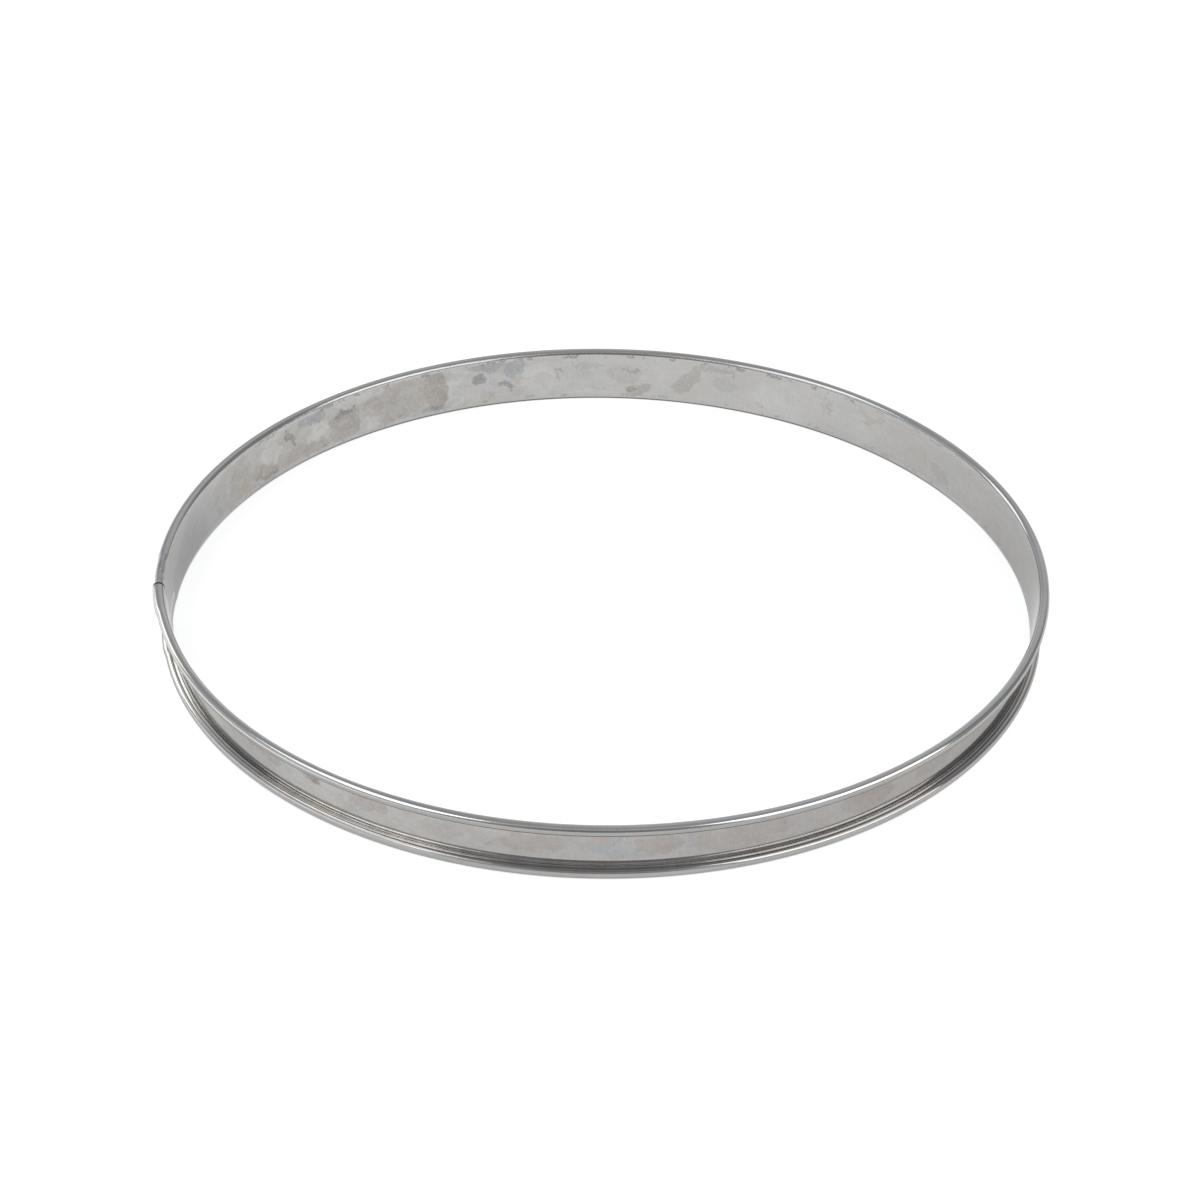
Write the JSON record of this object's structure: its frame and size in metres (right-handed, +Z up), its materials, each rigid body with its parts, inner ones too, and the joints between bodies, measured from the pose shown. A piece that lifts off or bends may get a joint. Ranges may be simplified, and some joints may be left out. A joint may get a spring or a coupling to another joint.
{
  "type": "tart ring",
  "caption": "Low open baking ring of thin sheet steel with outward rolled edges at top and bottom and one sleeved lap seam.",
  "frame": {"origin": "centre of the circle that the ring stands on, at floor level", "axes": "+Z up along the ring's axis; the mouth of the lap seam lies 7 degrees past -X towards -Y"},
  "size_m": [0.3, 0.3, 0.02],
  "materials": {
    "stainless_sheet": "bright rolled stainless sheet, semi-matte, with light heat and water stains inside"
  },
  "bodies": {
    "root": {"tart_ring": "stainless_sheet"}
  },
  "joints": []
}
